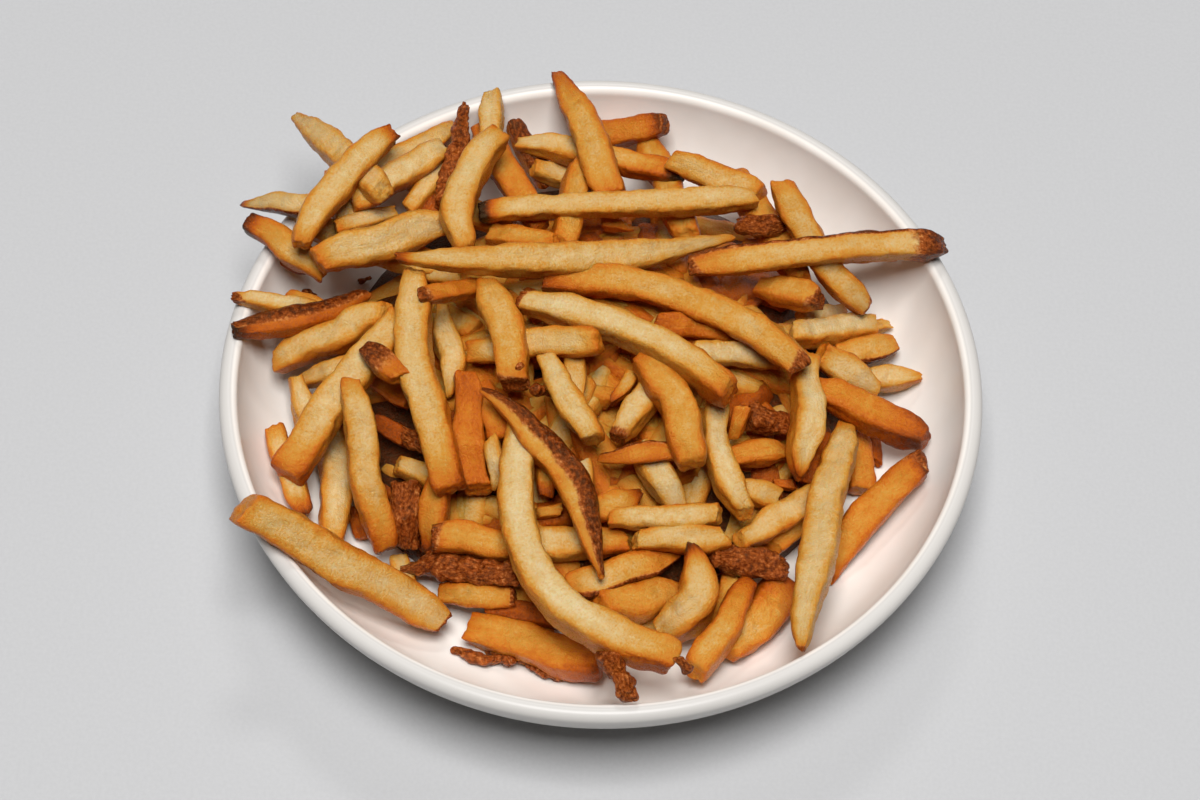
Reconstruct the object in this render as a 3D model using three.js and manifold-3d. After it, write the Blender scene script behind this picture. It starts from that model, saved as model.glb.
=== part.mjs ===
// French fries heaped in a shallow round bowl of glazed porcelain.
// Millimetres, +Z up. The origin is on the table, under the middle of the bowl.

import * as THREE from 'three';
import { mergeVertices } from 'three/addons/utils/BufferGeometryUtils.js';
import Module from 'manifold-3d';

const wasm = await Module();
wasm.setup();

// ---------------------------------------------------------------- sizes

const bowl = {
  radius: 110,        // out to the rim
  height: 40,
  rimRadius: 2.7,     // half the thickness of the rounded lip
  floorRadius: 70,    // flat inside
  floorHeight: 7,
  wallEnd: 78,        // degrees, how steep the inner wall gets under the lip
  outerEnd: 80,       // degrees, the same outside
  footOuter: 62,
  footInner: 55,
  footHeight: 2.2,
  footRound: 2,       // how far out the wall starts above the foot
  baseRecess: 2,      // hollow under the middle
  wallSteps: 8,
  lipSteps: 5,
  outerSteps: 7,
  segments: 56,
};

// The packed-down middle of the heap, which the fries on top lie on
const bed = {
  x: -2,
  y: 14,
  radius: 80,         // front to back
  stretch: 1.06,      // how much wider it is from left to right
  peak: 44,           // height above the table
  roundness: 0.9,     // under 1 for a fuller shoulder
  steps: 8,
  segments: 24,
};

const fit = {
  gap: 0.35,          // air between food and glaze
  bite: 1.6,          // how far two fries press into each other where they cross
  pass: 1.2,          // above 1 lets fries that lie side by side slip past each other
  ballStep: 2.6,      // spacing of the balls that stand for a fry while it is laid
  steepest: 26,       // degrees that a fry may tip
  level: 0.15,        // how much a fry prefers to lie level over lying low
  slopes: 10,         // slopes tried each way
  droop: 3,           // most that an unsupported end hangs down
  stiff: 0.05,        // share of the droop below which a place counts as the stiff middle
  ceiling: 120,       // height that a fry is let down from
  lower: 0.5,         // by how much at a time
  ring: 16,           // length of one straight stretch of a fry
  roll: 14,           // degrees that a fry may be turned about its length, by chance
  toDiner: 0.6,       // how far one of its faces is also turned to face the diner
  tip: 0.35,          // thickness of a pointed end, as a share of the whole
  tipLength: 0.35,    // share of the fry's length that narrows to it
  cornerShow: 0.8,    // how much of a turned square's extra width shows past its soft corners
};

// The heap is laid out as a diner looking down at it sees it: each fry is placed
// across (u) and up (v) that view, then slides along the line of sight until it rests.
const diner = {
  elevation: 57.26,   // degrees above the table
  distance: 811.4,
  aim: new THREE.Vector3(-0.22, -8.66, 40),
  eyeLevel: 40,       // height at which a fry's direction is read
};

// From the bottom of the heap to the top:
// [from u, from v, to u, to v, width, sideways bow, which ends are pointed]
const deepFries = [
  [-31, -44, -13, -72, 8, 0, ''],
  [8, -47, -4, -74, 8, 0, ''],
  [-56, -47, -51, -62, 6, 0, ''],
  [38, 44, 84, 46, 8, 0, ''],
  [44, -40, 36, -67, 8, 0, ''],
  [-64, 66, -28, 47, 8.5, 0, ''],
  [-86, 47, -46, 35, 8.5, 0, ''],
  [-38, 77, -18, 48, 8.5, 0, ''],
  [10, 77, 24, 46, 8.5, 0, ''],
  [36, 66, 58, 34, 8.5, 0, ''],
  [-92, 26, -56, 10, 8.5, 0, ''],
  [-78, 62, -70, 36, 8.5, 0, ''],
  [-58, 44, -38, 62, 8, 0, ''],
  [14, 23, 46, 21, 7, 0, ''],
  [24, 15, 53, 14, 7.5, 0, ''],
  [43, 34, 63, 31, 9, 0, ''],
  [-8, 13, -7, -3, 8, 0, ''],
  [9, 8, 2, -1, 5, 1, ''],
  [-38, 12, 0, 17, 8, 1, ''],
  [-34, 4, -28, -13, 7, 0, ''],
  [-31, -11, -28, -27, 6.5, 0, ''],
  [11, -12, 25, -32, 9.5, 0, ''],
  [0, -16.5, 28, -14, 5.5, 0.5, 'from'],
  [42, -3.5, 56, -6, 9.5, 0, ''],
  [41, 0, 38.5, -10.5, 6.5, 0, ''],
  [36, -16, 55, -13.5, 9, 1, 'to'],
  [66, -7, 60, -23, 6.5, 0, ''],
  [50, -22, 58, -22.5, 4, 0, ''],
  [74, -7, 76, -24, 8, 0, ''],
  [78, -5, 79.5, -16, 5.5, 0, ''],
  [-4, -17, -3, -29, 5.5, 0, ''],
  [-4, -32, 13, -25.5, 9, -1.5, 'to'],
  [56, 25.5, 69, 28.5, 4.5, 0, ''],
  [38, 50.5, 53, 52.5, 9, 0, 'to'],
  [-66, 6, -54, -3, 7, 0, ''],
  [-67, 12, -55, 3, 8, 0, ''],
  [-85, 2, -66, 10, 6.5, 0, ''],
  [-87.5, 4, -82, -15, 8, 0, ''],
  [-64, -8.5, -54, -13.5, 7, 0, ''],
  [-57, -11, -45, -17, 8, 0, ''],
  [-59, -20, -44, -26, 7.5, 0, ''],
  [-55, -25, -53, -44, 9.5, 0, ''],
  [-70, -34, -66, -43, 5, 0, ''],
  [-30, -60, -8, -63.5, 6, 0, ''],
];

const middleFries = [
  [-57, 51, -46, 67, 7, 0, ''],
  [-74, 59, -44, 76.5, 7, 0, ''],
  [-74, 53.5, -46, 71, 9, 0, ''],
  [-41.5, 83, -48.5, 53, 6, 1.5, ''],
  [-90, 78, -64, 57, 9, 0, 'from'],
  [-104.5, 52.5, -78, 53, 6.5, 0, 'from'],
  [-102.5, 48, -79, 32.5, 9, 0, ''],
  [-93, 36.5, -86, 33, 4, 0, ''],
  [-78, 46, -60, 51.5, 6, 0, ''],
  [-107, 25.5, -82, 23, 6, 0, ''],
  [-106.5, 16.5, -68, 28.5, 6.5, -3, ''],
  [-34, 87, -34, 70, 7.5, 0, ''],
  [-28.3, 79, -16.8, 60.3, 7.5, 0, ''],
  [-27, 72, 22, 65, 7.5, 1.2, ''],
  [-22, 66, -6, 61.5, 8, 0, ''],
  [-7, 70, -13, 42, 8, 0, ''],
  [-5, 74.5, 16.5, 80, 8, 0, ''],
  [17, 70, 45, 59.5, 8, 0, ''],
  [-34, 46.5, -13, 44.5, 7, 0, ''],
  [-2, 50.5, 8, 50, 5, 0, ''],
  [-94, 7, -60, 23.5, 10, 0, ''],
  [-93.5, -11, -82.5, -37, 7, 0, ''],
  [-78, -9, -76, -45, 9.5, 2.5, ''],
  [-51, 33.5, -40, 33.5, 5, 0, ''],
  [-46.5, 25, -42.5, -1, 7.5, 1, 'to'],
  [-45, -22, -48, -45.5, 8, 0, 'to'],
  [76, 23.5, 83, 25, 5, 0, ''],
  [53, 21, 79.5, 23.5, 8, 0, ''],
  [66, 14.5, 85, 19.5, 8, 0, ''],
  [59, 7, 94.3, -8.5, 10, 0, ''],
  [74, 8.5, 92.5, 10, 8.5, 0, 'to'],
  [62, 16, 79.5, 5.5, 9.5, 0, ''],
  [49, 65.3, 75.8, 27.8, 9, -2.5, ''],
  [55, -51, 39, -71.5, 11, 0, ''],
  [49, -42, 61, -32, 6.5, 0, ''],
  [3, -34.5, 37, -31.5, 7, 0, ''],
  [-20, -42, 10, -40.5, 8.5, 0, ''],
  [8, -67, 31, -61, 8, 0, ''],
  [1, -60, 27, -54.5, 12, 0, ''],
  [15, 3.5, 4.5, -11.5, 9, 0, ''],
  [-15.5, -12, -14.5, -29, 5.5, 0, ''],
  [-18.5, -33.5, -9, -31.5, 6, 0, ''],
  [-20.5, -75.5, -7, -80, 3.5, 0, ''],
  [-43, -57, -21, -57.5, 7.5, 0, ''],
];

const topFries = [
  [-83.5, 36.5, -45.5, 49.5, 10.5, 0, ''],
  [-61, 74.5, -87.5, 40.5, 8.5, -3.5, ''],
  [-30, 75, -40, 41, 9, -6.5, ''],
  [-15.6, 93.5, 1.5, 58, 9.3, 0.8, 'from'],
  [-37, 52, 43.5, 59, 7.5, 1, ''],
  [-58, 23, -90, -26, 9.5, 0, ''],
  [-71, 4, -59.5, -46.5, 9.2, -1.5, ''],
  [-55, 37, -40.5, -28, 9, -3.8, ''],
  [-54, 27.5, -36, 31, 6, 0, ''],
  [-33.5, 33, -23.5, 2, 9, 1, ''],
  [-39, 7, -34, -28.5, 8, -0.5, ''],
  [-16.3, 11.5, -1.2, -13, 8.2, 0.5, ''],
  [9.5, 13, 26.4, -18.5, 10, 4.5, ''],
  [59.3, 15, 58, -21.5, 9.8, 0.5, 'to'],
  [38, -23, 52, -26.5, 8.5, 0, ''],
  [94.5, -13.5, 67, -50, 9.3, -3.3, 'to'],
  [63.5, -24.5, 40.5, -40, 8, 0, ''],
  [34.5, 5, 44.5, -32.5, 8, -5.4, ''],
  [10.5, -39.5, 39.5, -38.5, 8.5, 0, ''],
  [-24, 27.5, 38.5, 2.5, 9.5, 4.5, ''],
  [-18.5, 33, 58.5, 10.5, 9.7, 9, ''],
  [23.5, 39, 98.5, 47.5, 8, 2.1, ''],
  [-60.5, 39, 36.5, 48.5, 9.5, -4.3, 'both'],
  [70.5, -5, 59.6, -70.5, 9.8, -0.8, 'to'],
  [45.2, -50.5, 30, -78.5, 9, 0, ''],
  [32.5, -44.5, 56, -47, 9, 1, ''],
  [-47, -40.5, -20, -43, 9, 0, ''],
  [-55.5, -50, -20, -52, 9, 1.5, 'from'],
  [-102, -33.5, -41.8, -65.5, 10.6, 0, ''],
  [28, -39.5, 20, -68, 11.5, 5.5, 'from'],
  [-8, -54, 25, -43.5, 8.5, 0, 'to'],
  [-34.5, -66, 4, -76.5, 10.5, 0, ''],
  [5, -72.5, 11.5, -85, 6.5, 0, ''],
  [-22, -7, 25.5, -73.5, 10.5, -20.3, ''],
  [-34.5, 1.5, 2, -51.5, 8.5, 7.5, 'both'],
];

// ---------------------------------------------------------------- small tools

const radians = THREE.MathUtils.degToRad;
const skyward = new THREE.Vector3(0, 0, 1);

function makeRandom(seed) {
  let state = seed;
  return () => {
    state = (state * 16807) % 2147483647;
    return state / 2147483647;
  };
}

const random = makeRandom(5813);

// ---------------------------------------------------------------- the bowl

// Quarter-oval from a flat start at (r0, z0) to (r1, z1), where it is `end` degrees steep
function wallCurve(r0, z0, r1, z1, end, steps) {
  const width = (r1 - r0) / Math.sin(radians(end));
  const rise = (z1 - z0) / (1 - Math.cos(radians(end)));
  const points = [];
  for (let i = 0; i <= steps; i += 1) {
    const angle = radians(end) * i / steps;
    points.push(new THREE.Vector2(r0 + width * Math.sin(angle), z0 + rise * (1 - Math.cos(angle))));
  }
  return points;
}

const lipRadius = bowl.radius - bowl.rimRadius;
const lipHeight = bowl.height - bowl.rimRadius;

function innerCurve() {
  const { floorRadius, floorHeight, wallEnd, rimRadius, wallSteps } = bowl;
  return wallCurve(floorRadius, floorHeight, lipRadius - rimRadius, lipHeight, wallEnd, wallSteps);
}

function lipCurve() {
  const points = [];
  for (let i = 1; i < bowl.lipSteps; i += 1) {
    const angle = Math.PI * (1 - i / bowl.lipSteps);
    const r = lipRadius + bowl.rimRadius * Math.cos(angle);
    points.push(new THREE.Vector2(r, lipHeight + bowl.rimRadius * Math.sin(angle)));
  }
  return points;
}

function outerCurve() {
  const { footOuter, footRound, footHeight, radius, outerEnd, outerSteps } = bowl;
  return wallCurve(footOuter + footRound, footHeight, radius, lipHeight, outerEnd, outerSteps).reverse();
}

// From the middle of the floor, up the inner wall, over the lip and back under the foot
function bowlProfile() {
  const { floorHeight, footOuter, footInner, baseRecess } = bowl;
  return [
    new THREE.Vector2(0, floorHeight),
    ...innerCurve(),
    ...lipCurve(),
    ...outerCurve(),
    new THREE.Vector2(footOuter, 0),
    new THREE.Vector2(footInner, 0),
    new THREE.Vector2(footInner - baseRecess / 2, baseRecess),
    new THREE.Vector2(0, baseRecess),
  ];
}

// The same outline pushed outwards by a distance, away from the material
function grow(profile, distance) {
  return profile.map((point, i) => {
    const before = profile[Math.max(i - 1, 0)];
    const after = profile[Math.min(i + 1, profile.length - 1)];
    const along = after.clone().sub(before).normalize();
    const moved = point.clone().add(new THREE.Vector2(-along.y, along.x).multiplyScalar(distance));
    moved.x = point.x === 0 ? 0 : moved.x;
    return moved;
  });
}

function lathe(profile, segments) {
  const geometry = new THREE.LatheGeometry([...profile].reverse(), segments);
  geometry.rotateX(Math.PI / 2);
  return geometry;
}

// ---------------------------------------------------------------- manifold solids

function toSolid(geometry) {
  geometry.deleteAttribute('normal');
  geometry.deleteAttribute('uv');
  const merged = mergeVertices(geometry, 1e-4);
  const triangles = [];
  const index = merged.index.array;
  for (let i = 0; i < index.length; i += 3) {
    const [a, b, c] = [index[i], index[i + 1], index[i + 2]];
    if (a !== b && b !== c && c !== a) {
      triangles.push(a, b, c);
    }
  }
  const mesh = new wasm.Mesh({
    numProp: 3,
    vertProperties: new Float32Array(merged.attributes.position.array),
    triVerts: new Uint32Array(triangles),
  });
  return new wasm.Manifold(mesh);
}

function toGeometry(solid) {
  const mesh = solid.getMesh();
  const geometry = new THREE.BufferGeometry();
  geometry.setAttribute('position', new THREE.BufferAttribute(mesh.vertProperties, 3));
  geometry.setIndex(new THREE.BufferAttribute(mesh.triVerts, 1));
  geometry.computeVertexNormals();
  return geometry;
}

// The biggest of a solid's separate shells, which leaves out scraps and fills sealed pockets
function largestShell(solid) {
  return solid.decompose().reduce((best, shell) => (shell.volume() > best.volume() ? shell : best));
}

// ---------------------------------------------------------------- the bed of the heap

function bedProfile() {
  const floor = bowl.floorHeight + fit.gap;
  const points = [];
  for (let i = 0; i <= bed.steps; i += 1) {
    const r = bed.radius * Math.sin(Math.PI / 2 * i / bed.steps);
    const z = floor + (bed.peak - floor) * (1 - (r / bed.radius) ** 2) ** bed.roundness;
    points.push(new THREE.Vector2(r, z));
  }
  return points;
}

function bedGeometry() {
  const geometry = lathe([...bedProfile(), new THREE.Vector2(0, bowl.floorHeight + fit.gap)], bed.segments);
  geometry.scale(bed.stretch, 1, 1);
  geometry.translate(bed.x, bed.y, 0);
  return geometry;
}

// ---------------------------------------------------------------- laying the fries

const tilt = radians(diner.elevation);
const forward = new THREE.Vector3(0, Math.cos(tilt), -Math.sin(tilt));
const across = new THREE.Vector3(1, 0, 0);
const upView = new THREE.Vector3().crossVectors(across, forward);
const eye = diner.aim.clone().addScaledVector(forward, -diner.distance);

function sightLine(u, v) {
  const line = forward.clone().multiplyScalar(diner.distance);
  return line.addScaledVector(across, u).addScaledVector(upView, v).normalize();
}

// The point at a height above the table that the diner sees at (u, v)
function seenAt(u, v, z) {
  const line = sightLine(u, v);
  return eye.clone().addScaledVector(line, (z - eye.z) / line.z);
}

function segmentDistance(r, z, a, b) {
  const abX = b.x - a.x;
  const abY = b.y - a.y;
  const t = ((r - a.x) * abX + (z - a.y) * abY) / (abX * abX + abY * abY);
  const held = Math.min(Math.max(t, 0), 1);
  return Math.hypot(r - a.x - held * abX, z - a.y - held * abY);
}

const bowlInside = [new THREE.Vector2(0, bowl.floorHeight), ...innerCurve(), ...lipCurve()];
const bedTop = bedProfile();

function touches(point, profile, centre, reach) {
  const r = Math.hypot((point.x - centre.x) / centre.stretch, point.y - centre.y);
  for (let i = 1; i < profile.length; i += 1) {
    if (segmentDistance(r, point.z, profile[i - 1], profile[i]) < reach) {
      return true;
    }
  }
  return false;
}

const bowlCentre = { x: 0, y: 0, stretch: 1 };

// Height at which a ball that comes down the line of sight meets the bowl or the bed
function meetsSurface(u, v, radius) {
  for (let z = fit.ceiling; z > radius; z -= fit.lower) {
    const point = seenAt(u, v, z);
    const onBowl = touches(point, bowlInside, bowlCentre, radius + fit.gap);
    if (onBowl || touches(point, bedTop, bed, radius - fit.bite / 2)) {
      return z;
    }
  }
  return radius;
}

const balls = [];

// The same for a ball that comes down onto the balls of the fries laid before
function meetsBalls(u, v, radius) {
  const line = sightLine(u, v);
  let height = 0;
  for (const ball of balls) {
    const reach = radius + ball.radius - fit.bite;
    const toBall = ball.centre.clone().sub(eye);
    const along = toBall.dot(line);
    const apart = (toBall.lengthSq() - along * along) * fit.pass ** 2;
    if (apart < reach * reach) {
      height = Math.max(height, eye.z + line.z * (along - Math.sqrt(reach * reach - apart)));
    }
  }
  return height;
}

// Of all straight lines over the heights, the one that lies low at the middle and near level
function restOn(heights, steepest) {
  const last = heights.length - 1;
  let best = { cost: Infinity, start: 0, slope: 0 };
  for (let step = -fit.slopes; step <= fit.slopes; step += 1) {
    const slope = steepest * step / fit.slopes;
    const start = Math.max(...heights.map((height, i) => height - slope * i / last));
    const cost = start + slope / 2 + fit.level * Math.abs(slope);
    best = cost < best.cost ? { cost, start, slope } : best;
  }
  return heights.map((height, i) => best.start + best.slope * i / last);
}

// Lets each end hang down in a curve until it, or the part before it, meets something
function droopEnds(line, heights) {
  const last = line.length - 1;
  const share = (i) => (2 * i / last - 1) ** 2;
  const limits = [fit.droop, fit.droop];
  line.forEach((height, i) => {
    const end = i < last / 2 ? 0 : 1;
    if (share(i) > fit.stiff) {
      limits[end] = Math.min(limits[end], (height - heights[i]) / share(i));
    }
  });
  return line.map((height, i) => height - share(i) * limits[i < last / 2 ? 0 : 1]);
}

function layFry([fromU, fromV, toU, toV, width, bow, pointed]) {
  const length = Math.hypot(toU - fromU, toV - fromV);
  const count = Math.max(4, Math.round(length / fit.ballStep));
  const side = new THREE.Vector2(fromV - toV, toU - fromU).divideScalar(length);
  const places = [];
  for (let i = 0; i <= count; i += 1) {
    const t = i / count;
    const off = 4 * bow * t * (1 - t);
    places.push([fromU + (toU - fromU) * t + side.x * off, fromV + (toV - fromV) * t + side.y * off]);
  }

  // True side of the square cut, from how wide it looks at this angle and roll
  const flat = seenAt(toU, toV, diner.eyeLevel).sub(seenAt(fromU, fromV, diner.eyeLevel)).normalize();
  const [level, upright] = sectionAxes(flat, 0);
  const towards = Math.atan2(forward.dot(level), -forward.dot(upright));
  const roll = fit.toDiner * towards + radians(fit.roll) * (2 * random() - 1);
  const spread = across.clone().multiplyScalar(side.x).addScaledVector(upView, side.y);
  const [wide, tall] = sectionAxes(flat, roll);
  const facing = Math.abs(wide.dot(spread)) + Math.abs(tall.dot(spread));
  const thick = width / (1 + fit.cornerShow * (facing - 1));

  const radii = places.map((place, i) => thick / 2 * taper(i / count, pointed));
  const heights = places.map(([u, v], i) => Math.max(
    meetsSurface(u, v, radii[i]),
    meetsBalls(u, v, radii[i]),
  ));
  const line = droopEnds(restOn(heights, length * Math.tan(radians(fit.steepest))), heights);
  const centres = places.map(([u, v], i) => seenAt(u, v, line[i]));
  centres.forEach((centre, i) => balls.push({ centre, radius: radii[i] }));
  return { centres, thick, roll, pointed };
}

// ---------------------------------------------------------------- one fry's solid

// Two axes across a fry: level and upright, then turned by its roll
function sectionAxes(along, roll) {
  const level = new THREE.Vector3().crossVectors(skyward, along);
  level.normalize();
  const upright = new THREE.Vector3().crossVectors(along, level);
  const wide = level.clone().multiplyScalar(Math.cos(roll)).addScaledVector(upright, Math.sin(roll));
  const tall = upright.clone().multiplyScalar(Math.cos(roll)).addScaledVector(level, -Math.sin(roll));
  return [wide, tall];
}

// Share of the full thickness at a place along the fry
function taper(t, pointed) {
  const tip = (near) => fit.tip + (1 - fit.tip) * Math.min(1, near / fit.tipLength);
  const atStart = pointed === 'from' || pointed === 'both' ? tip(t) : 1;
  const atEnd = pointed === 'to' || pointed === 'both' ? tip(1 - t) : 1;
  return Math.min(atStart, atEnd);
}

function fryGeometry({ centres, thick, roll, pointed }) {
  const curve = new THREE.CatmullRomCurve3(centres);
  const length = curve.getLength();
  const rings = Math.max(pointed ? 4 : 2, Math.round(length / fit.ring));
  const geometry = new THREE.BoxGeometry(thick, thick, 1, 1, 1, rings);
  const position = geometry.attributes.position;
  for (let i = 0; i < position.count; i += 1) {
    const t = position.getZ(i) + 0.5;
    const [wide, tall] = sectionAxes(curve.getTangent(t), roll);
    const share = taper(t, pointed);
    const place = curve.getPoint(t);
    place.addScaledVector(wide, position.getX(i) * share);
    place.addScaledVector(tall, position.getY(i) * share);
    position.setXYZ(i, place.x, place.y, place.z);
  }
  return geometry;
}

function heapSolid() {
  const fries = [...deepFries, ...middleFries, ...topFries].map(layFry);
  let heap = toSolid(bedGeometry());
  for (const fry of fries) {
    heap = heap.add(toSolid(fryGeometry(fry)));
  }
  const keepOut = toSolid(lathe(grow(bowlProfile(), fit.gap), bowl.segments));
  return largestShell(heap.subtract(keepOut));
}

// ---------------------------------------------------------------- the part

function makeMesh(name, geometry, material) {
  const mesh = new THREE.Mesh(geometry, new THREE.MeshStandardMaterial(material));
  mesh.name = name;
  return mesh;
}

const glaze = { color: 0xe4dfda, roughness: 0.18, metalness: 0 };
const friedPotato = { color: 0xd9a052, roughness: 0.55, metalness: 0 };

const group = new THREE.Group();
group.add(makeMesh('bowl', lathe(bowlProfile(), bowl.segments), glaze));
group.add(makeMesh('fries', toGeometry(heapSolid()), friedPotato));

export default group;
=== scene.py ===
# French fries heaped in a shallow porcelain bowl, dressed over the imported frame.
import math
import random

import bmesh
import bpy
import numpy as np
from mathutils import Matrix, Vector


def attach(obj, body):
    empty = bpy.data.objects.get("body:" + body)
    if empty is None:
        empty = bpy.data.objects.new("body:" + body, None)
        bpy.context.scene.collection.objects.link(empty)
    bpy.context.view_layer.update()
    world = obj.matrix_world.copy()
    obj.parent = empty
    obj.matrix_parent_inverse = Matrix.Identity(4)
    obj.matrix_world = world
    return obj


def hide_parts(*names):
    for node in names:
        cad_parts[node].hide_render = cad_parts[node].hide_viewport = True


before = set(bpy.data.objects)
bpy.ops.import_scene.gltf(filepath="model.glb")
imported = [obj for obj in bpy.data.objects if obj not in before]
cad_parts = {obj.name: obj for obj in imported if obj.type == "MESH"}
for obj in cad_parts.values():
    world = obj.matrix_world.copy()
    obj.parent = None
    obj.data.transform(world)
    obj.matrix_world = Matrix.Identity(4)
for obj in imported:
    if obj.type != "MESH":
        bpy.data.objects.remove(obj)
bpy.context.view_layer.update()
mm = 0.001


# small helpers

def deselectAll():
    active = bpy.context.view_layer.objects.active
    if active and active.mode != "OBJECT":
        bpy.ops.object.mode_set(mode="OBJECT")
    bpy.ops.object.select_all(action="DESELECT")


def selectOnly(*pieces):
    deselectAll()
    for piece in pieces:
        piece.select_set(True)
    bpy.context.view_layer.objects.active = pieces[0]


def pickVertices(piece, test):  # in edit mode, selects the vertices that pass a test of their place
    shape = bmesh.from_edit_mesh(piece.data)
    bpy.ops.mesh.select_all(action="DESELECT")
    for vertex in shape.verts:
        vertex.select = test(vertex.co)
    shape.select_flush(True)
    bmesh.update_edit_mesh(piece.data)


def pickEdges(piece, test):  # the same for edges, by the places of their two ends
    shape = bmesh.from_edit_mesh(piece.data)
    bpy.ops.mesh.select_all(action="DESELECT")
    for edge in shape.edges:
        if test(edge.verts[0].co, edge.verts[1].co):
            edge.select_set(True)
    bmesh.update_edit_mesh(piece.data)


def applyModifier(piece, modifier):
    selectOnly(piece)
    bpy.ops.object.modifier_apply(modifier=modifier.name)


def joinPieces(pieces, name):
    selectOnly(*pieces)
    if len(pieces) > 1:
        bpy.ops.object.join()
    joined = bpy.context.view_layer.objects.active
    joined.name = name
    joined.data.name = name
    return joined


def displace(piece, name, grain, depth):  # grain and depth in mm
    texture = bpy.data.textures.get(name) or bpy.data.textures.new(name, "CLOUDS")
    texture.noise_scale = grain * mm
    texture.noise_depth = 1
    modifier = piece.modifiers.new(name, "DISPLACE")
    modifier.texture = texture
    modifier.texture_coords = "LOCAL"
    modifier.mid_level = 0.5
    modifier.strength = depth * mm
    applyModifier(piece, modifier)


def triangles(piece):
    return sum(len(face.vertices) - 2 for face in piece.data.polygons)


def vertexPlaces(mesh):
    places = np.zeros(len(mesh.vertices) * 3)
    mesh.vertices.foreach_get("co", places)
    return places.reshape(-1, 3)


# camera

camera = {
    "lens": 85,                 # mm
    "sensor": 36,               # mm wide
    "elevation": 57.26,         # degrees above the table
    "roll": 2.1,                # degrees
    "distance": 811.4,          # mm from the point it looks at
    "aim": (-0.22, -8.66, 40),  # mm
}

tilt = math.radians(camera["elevation"])
forward = np.array((0, math.cos(tilt), -math.sin(tilt)))
across = np.array((1.0, 0, 0))
upView = np.array((0, math.sin(tilt), math.cos(tilt)))
eye = np.array(camera["aim"]) - forward * camera["distance"]


def placeCamera():
    turn = Matrix.Rotation(math.pi / 2 - tilt, 4, "X") @ Matrix.Rotation(math.radians(camera["roll"]), 4, "Z")
    bpy.ops.object.camera_add()
    placed = bpy.context.object
    placed.matrix_world = Matrix.Translation(Vector(eye * mm)) @ turn
    placed.data.lens = camera["lens"]
    placed.data.sensor_width = camera["sensor"]
    placed.data.sensor_fit = "HORIZONTAL"
    bpy.context.scene.camera = placed


deselectAll()
placeCamera()
print("camera placed")


# materials

def linear(hexColour):  # sRGB hex to linear RGBA
    channels = [int(hexColour[i:i + 2], 16) / 255 for i in (1, 3, 5)]
    return tuple(c / 12.92 if c <= 0.04045 else ((c + 0.055) / 1.055) ** 2.4 for c in channels) + (1,)


def setInputs(tree, node, inputs):  # each is a value, or what another node gives
    for name, value in inputs.items():
        if isinstance(value, bpy.types.NodeSocket):
            tree.links.new(value, node.inputs[name])
        else:
            node.inputs[name].default_value = value


def addNode(tree, kind, inputs, **settings):
    node = tree.nodes.new(kind)
    for name, value in settings.items():
        setattr(node, name, value)
    setInputs(tree, node, inputs)
    return node


def fillRamp(ramp, stops):
    elements = ramp.color_ramp.elements
    while len(elements) < len(stops):
        elements.new(1)
    for element, (place, colour) in zip(elements, stops):
        element.position = place
        element.color = linear(colour)


def newMaterial(name):
    material = bpy.data.materials.new(name)
    material.use_nodes = True
    tree = material.node_tree
    return material, tree, tree.nodes["Principled BSDF"]


friedPotato = {
    "browning": (           # from hardly fried to burnt
        (0.0, "#dcc89a"),
        (0.14, "#d3b074"),
        (0.30, "#cc9238"),
        (0.44, "#c8771d"),
        (0.56, "#be5f10"),
        (0.68, "#a04507"),
        (0.80, "#6f2a04"),
        (0.92, "#421805"),
        (1.0, "#1d0a03"),
    ),
    "skin": ((0.30, "#4c1b04"), (0.45, "#783209"), (0.60, "#a4511b"), (0.76, "#d08a48")),
    "streak": (0.13, 0.5, 0.5),     # per mm, long along the fry
    "crease": (0.22, 1.1, 1.1),     # per mm, finer and shorter
    "blotch": 0.1,                  # per mm
    "mottle": 0.42,                 # per mm
    "blister": 1.6,                 # per mm
    "wrinkle": (0.8, 1.1, 1.1),     # per mm, a little longer along the fry
    "swing": {"streak": 0.18, "crease": 0.08, "blotch": 0.22, "mottle": 0.20, "blister": 0.50},
    "skinShade": (0.8, 0.5, 0.4),   # full skin, how much lighter thin skin is, and its mottling
    "tear": (0.4, 0.7),             # how blotches and mottles tear the edge of the skin
    "tearFrom": (0.42, 0.62),       # where skin starts to show, and where it covers
    "gloss": (0.18, 0.42),          # roughness of the cut flesh, over the blisters' own span
    "glossFrom": (0.3, 0.7),
    "skinGloss": 0.2,               # roughness of the skin
    "bump": {"blister": 0.5, "crease": 0.2, "wrinkle": 0.65},   # mm deep, too fine to model
    "oil": "#ffcf94",               # the film of oil tints what it mirrors
    "specular": 0.6,
    "subsurface": 0.4,
    "reach": 1.6,                   # mm that light travels under the surface
    "redder": (1.0, 0.45, 0.16),    # red light travels furthest
}


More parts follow.
